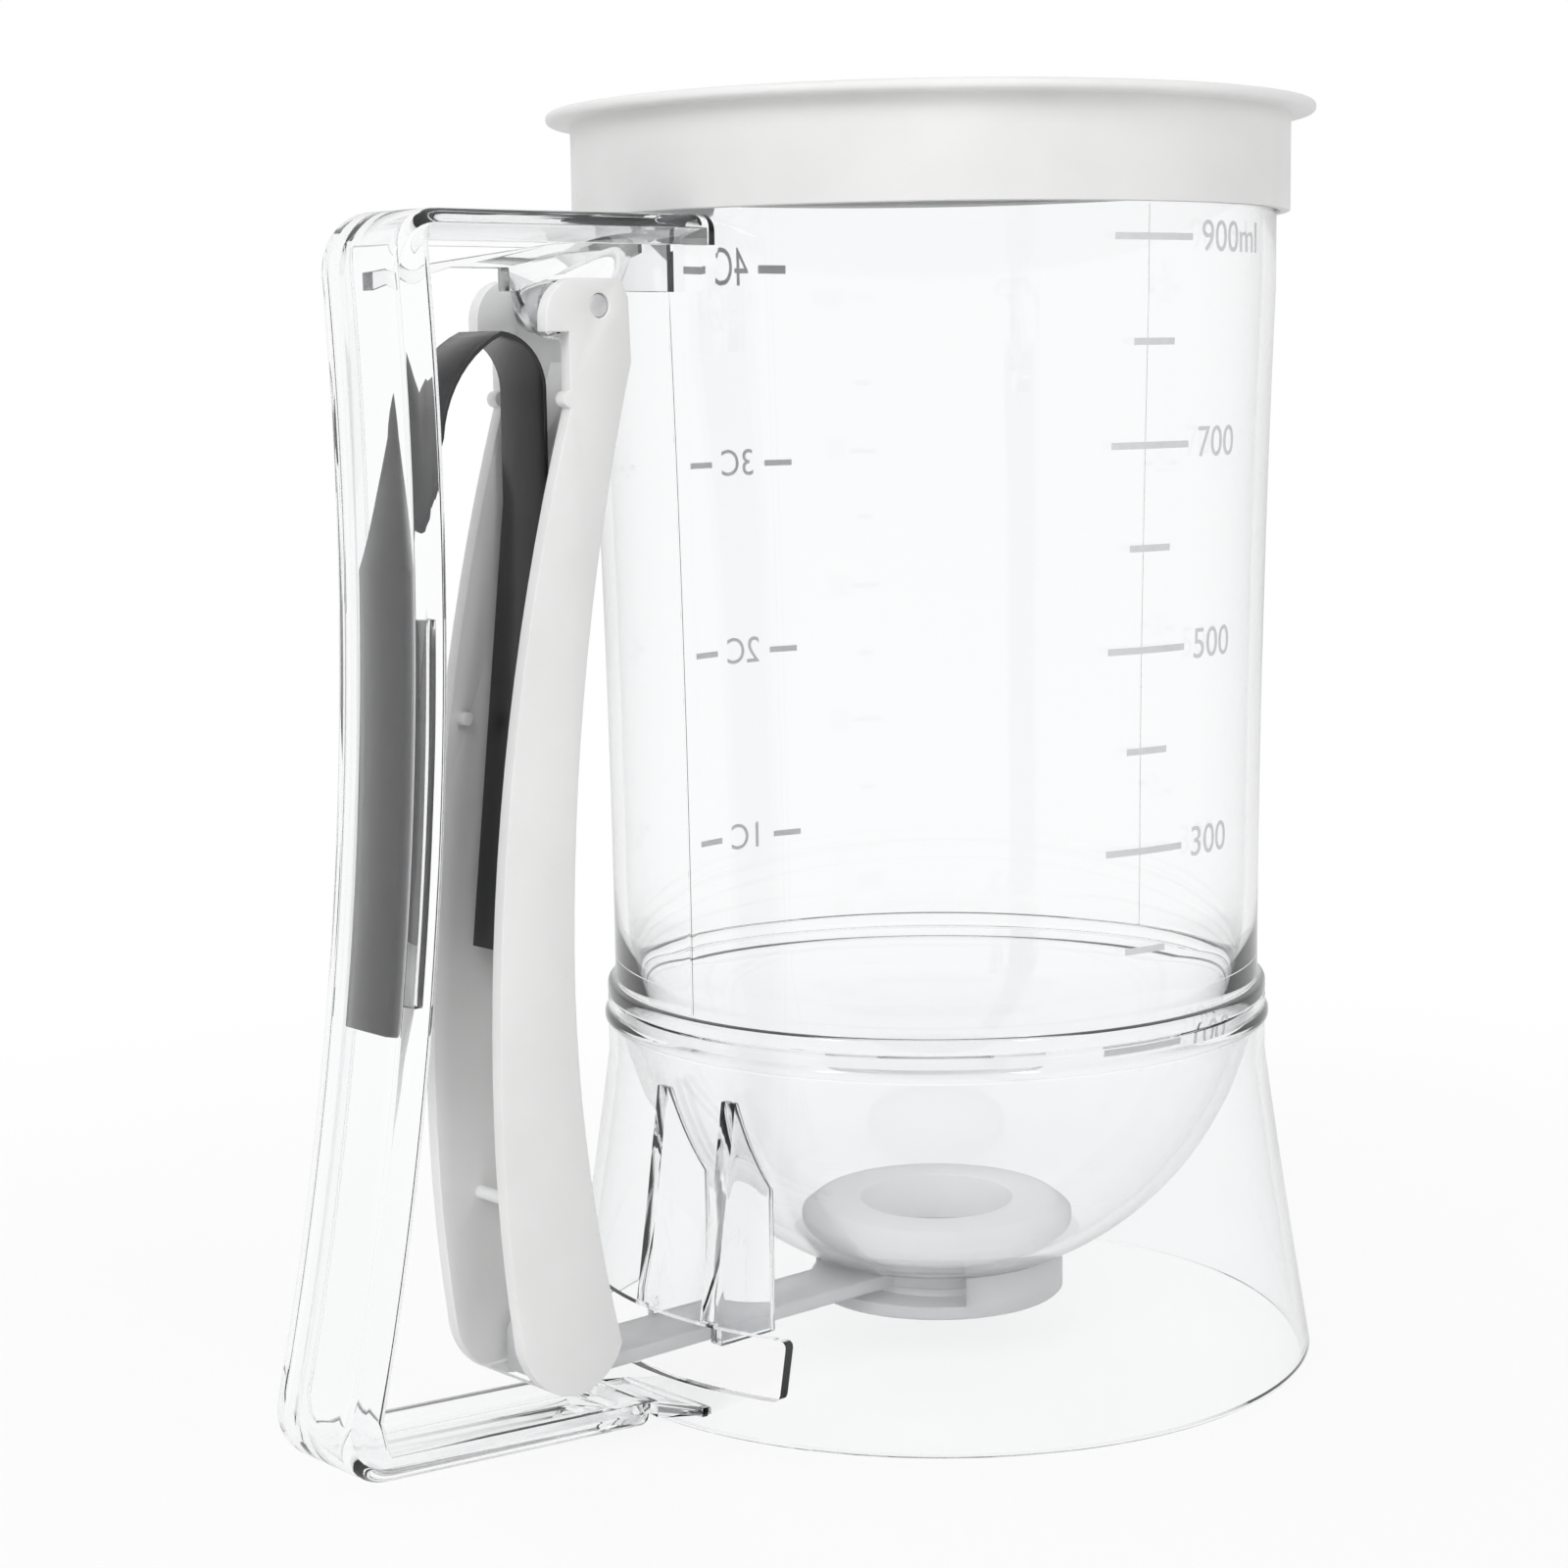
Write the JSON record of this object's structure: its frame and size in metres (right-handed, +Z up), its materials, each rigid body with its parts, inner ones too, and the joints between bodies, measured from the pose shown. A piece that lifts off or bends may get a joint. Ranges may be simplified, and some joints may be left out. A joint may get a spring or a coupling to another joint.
{
  "type": "batter dispenser",
  "caption": "Clear jug on a flared foot with a loop handle and white lid; squeezing the lever pulls a slide valve open under the outlet in the bowl's floor.",
  "frame": {"origin": "on the table under the middle of the whole object", "axes": "+Z up along the jug's axis, handle towards -X, +Y across the handle"},
  "size_m": [0.1735, 0.1148, 0.1864],
  "materials": {
    "clear_plastic": "clear polished",
    "white_plastic": "satin moulded",
    "milky_plastic": "milky translucent",
    "silicone": "soft matt",
    "spring_steel": "satin strip",
    "pin_steel": "ground"
  },
  "bodies": {
    "jug": {"container": "clear_plastic", "base_skirt": "clear_plastic", "handle_frame": "clear_plastic", "pivot_pin": "pin_steel", "return_spring": "spring_steel", "valve_seat": "silicone", "nozzle_ring": "milky_plastic"},
    "lid": {"lid": "white_plastic"},
    "lever": {"squeeze_lever": "white_plastic"},
    "slide": {"slide_valve": "milky_plastic"}
  },
  "joints": [
    {"name": "lid_lift", "type": "slide", "parent": "jug", "child": "lid", "axis": [0, 0, 1], "range_m": [0, 0.06]},
    {"name": "lever_pivot", "type": "hinge", "parent": "jug", "child": "lever", "pos_m": [-0.0407, 0, 0.1578], "axis": [0, 1, 0], "range_deg": [0, 6.6], "stiffness_Nm_per_rad": 4, "springref_deg": -4.58, "deforming": ["return_spring"]},
    {"name": "valve_slide", "type": "slide", "parent": "jug", "child": "slide", "axis": [-1, 0, 0], "range_m": [0, 0.017]}
  ],
  "couplings": [
    {"joint": "valve_slide", "follows": "lever_pivot", "m_per_rad": 0.1425}
  ]
}
